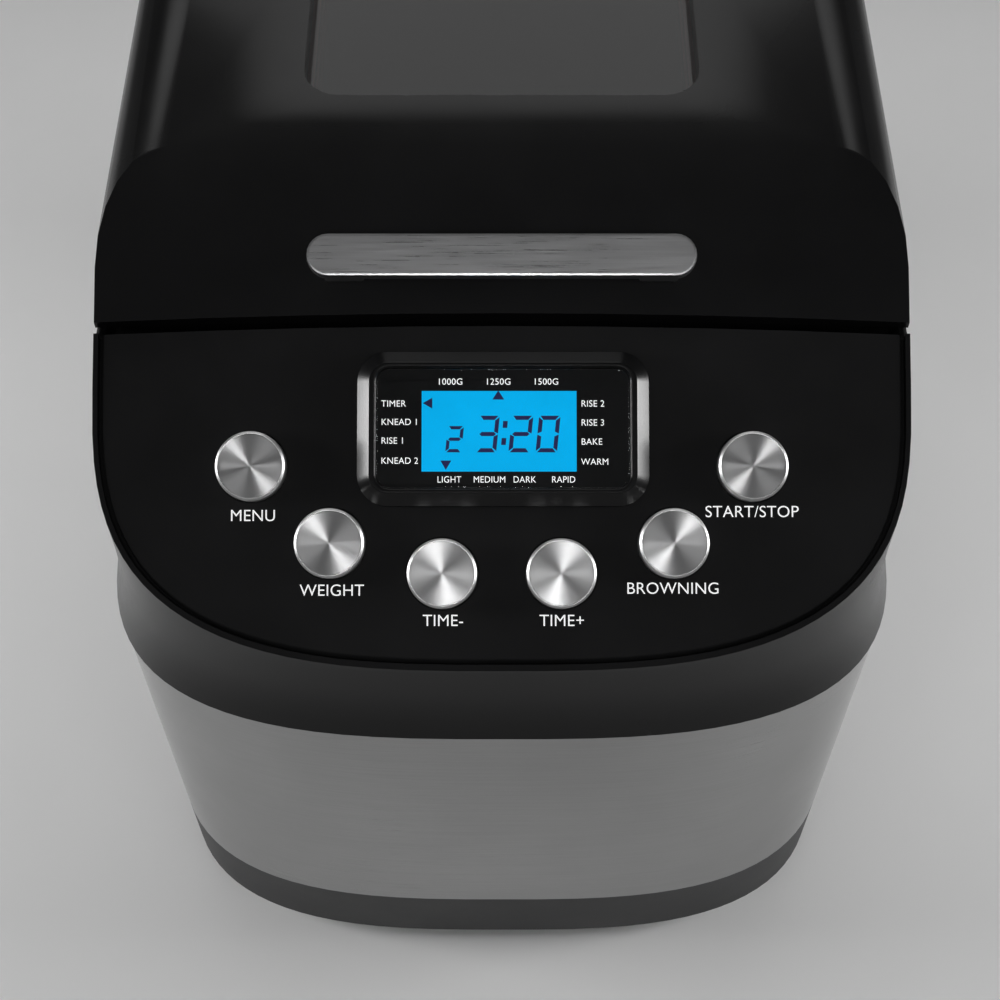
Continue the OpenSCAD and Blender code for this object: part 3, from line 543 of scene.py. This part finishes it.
def figures():
    """Lit-display figures as thin seven-segment bars, and three pointers."""
    verts, faces = [], []
    z0, z1 = 1.12, 1.16

    def poly(pts):
        b = len(verts)
        n = len(pts)
        verts.extend([(x, y, z0) for x, y in pts] + [(x, y, z1) for x, y in pts])
        faces.append(tuple(b + n + i for i in range(n)))
        faces.append(tuple(b + n - 1 - i for i in range(n)))
        for i in range(n):
            j = (i + 1) % n
            faces.append((b + i, b + j, b + n + j, b + n + i))

    def digit(ch, x0, y0, w, h, t, g):
        on = {"0": "abcdef", "1": "bc", "2": "abged", "3": "abgcd", "4": "fgbc", "5": "afgcd", "6": "afgedc", "7": "abc", "8": "abcdefg", "9": "abcdfg"}[ch]
        m = h / 2
        sl = 0.10

        def S(pts):
            poly([(x0 + x + sl * (y - 0), y0 + y) for x, y in pts])
        if "a" in on: S([(g + t * .2, h), (w - g - t * .2, h), (w - g - t, h - t), (g + t, h - t)])
        if "d" in on: S([(g + t, t), (w - g - t, t), (w - g - t * .2, 0), (g + t * .2, 0)])
        if "g" in on: S([(g + t * .9, m + t / 2), (w - g - t * .9, m + t / 2), (w - g - t * .35, m), (w - g - t * .9, m - t / 2), (g + t * .9, m - t / 2), (g + t * .35, m)])
        if "f" in on: S([(0, h - g - t * .2), (t, h - g - t), (t, m + g + t * .45), (0, m + g)])
        if "e" in on: S([(0, m - g), (t, m - g - t * .45), (t, g + t), (0, g + t * .2)])
        if "b" in on: S([(w - t, h - g - t), (w, h - g - t * .2), (w, m + g), (w - t, m + g + t * .45)])
        if "c" in on: S([(w - t, m - g - t * .45), (w, m - g), (w, g + t * .2), (w - t, g + t)])

    digit("2", -17.15, 63.1, 4.9, 8.0, 1.0, 0.16)
    digit("3", -7.95, 63.1, 6.25, 11.15, 1.25, 0.17)
    digit("2", 2.0, 63.1, 6.5, 11.15, 1.25, 0.17)
    digit("0", 10.25, 63.1, 6.5, 11.15, 1.25, 0.17)
    for x, y in ((1.05, 71.6), (0.6, 66.4)):
        poly([(x - 0.78, y - 1.05), (x + 0.62, y - 1.05), (x + 0.78, y + 1.05), (x - 0.62, y + 1.05)])
    poly([(-2.85, 79.2), (0.75, 79.2), (-1.05, 82.0)])
    poly([(-24.0, 78.1), (-21.1, 76.45), (-21.1, 79.75)])
    poly([(-18.6, 60.6), (-16.95, 57.75), (-15.3, 60.6)])
    return verts, faces


v, f = figures()
mesh_object("display_figures", v, f, "lcd_ink", "housing", PANEL.copy(), smooth=30)

# ---------------------------------------------------------------- studio
def floor_piece():
    me = bpy.data.meshes.new("floor")
    S = 4.0
    n = 40
    verts = [(-S + 2 * S * i / n, -S + 2 * S * j / n, 0.0) for j in range(n + 1) for i in range(n + 1)]
    faces = [(j * (n + 1) + i, j * (n + 1) + i + 1, (j + 1) * (n + 1) + i + 1, (j + 1) * (n + 1) + i) for j in range(n) for i in range(n)]
    me.from_pydata(verts, [], faces)
    ob = bpy.data.objects.new("floor", me)
    bpy.context.scene.collection.objects.link(ob)
    k = Mat("floor_pale")
    n1 = k.noise(3.0, 4.0)
    k.link(k.mix(k.ramp(n1, 0, 1, 0.3, 0.7), (0.76, 0.76, 0.76), (0.82, 0.82, 0.82)), k.b.inputs["Base Color"])
    k.b.inputs["Roughness"].default_value = 0.6
    me.materials.append(k.m)


floor_piece()

world = bpy.data.worlds.new("studio")
bpy.context.scene.world = world
world.use_nodes = True
bg = world.node_tree.nodes["Background"]
bg.inputs[0].default_value = (1, 1, 1, 1)
bg.inputs[1].default_value = 0.08


def area(name, loc, aim, size, size_y, power, spread=180):
    li = bpy.data.lights.new(name, "AREA")
    li.shape = "RECTANGLE"
    li.size, li.size_y, li.energy = size, size_y, power
    li.spread = math.radians(spread)
    ob = bpy.data.objects.new(name, li)
    bpy.context.scene.collection.objects.link(ob)
    ob.location = loc
    ob.rotation_euler = (Vector(aim) - Vector(loc)).to_track_quat("-Z", "Y").to_euler()
    return ob


area("left_box", (-0.90, -0.08, 0.39), (0, -0.106, 0.256), 0.28, 0.22, 5.0)
area("right_box", (0.90, -0.08, 0.39), (0, -0.106, 0.256), 0.28, 0.22, 4.9)
area("key_box", (0.0, -0.681, 0.902), (0, -0.13, 0.25), 0.11, 0.14, 0.098, spread=50)
area("left_fill", (-0.343, -0.634, 0.960), (0, -0.13, 0.25), 0.20, 0.20, 0.028, spread=50)
area("right_fill", (0.343, -0.634, 0.960), (0, -0.13, 0.25), 0.20, 0.20, 0.028, spread=50)
area("back_box", (0.0, 0.85, 1.10), (0, 0.10, 0.2), 1.5, 0.5, 3.1)

# ---------------------------------------------------------------- camera
EL = math.radians(56.0)
DIST = 0.520
TARGET = on_panel(0, 52.0) @ Vector((0, 0, 0))
cam = bpy.data.cameras.new("camera")
cam.sensor_width = 36.0
cam.lens = 1714.3 * 36.0 / 1000.0
cam.shift_x = -1.73 / 1000.0
cam.shift_y = -10.86 / 1000.0
cam.clip_start = 0.05
co = bpy.data.objects.new("camera", cam)
bpy.context.scene.collection.objects.link(co)
co.location = TARGET + Vector((0, -math.cos(EL), math.sin(EL))) * DIST
co.rotation_euler = (TARGET - co.location).to_track_quat("-Z", "Y").to_euler()
bpy.context.scene.camera = co
bpy.context.scene.view_settings.view_transform = "Standard"
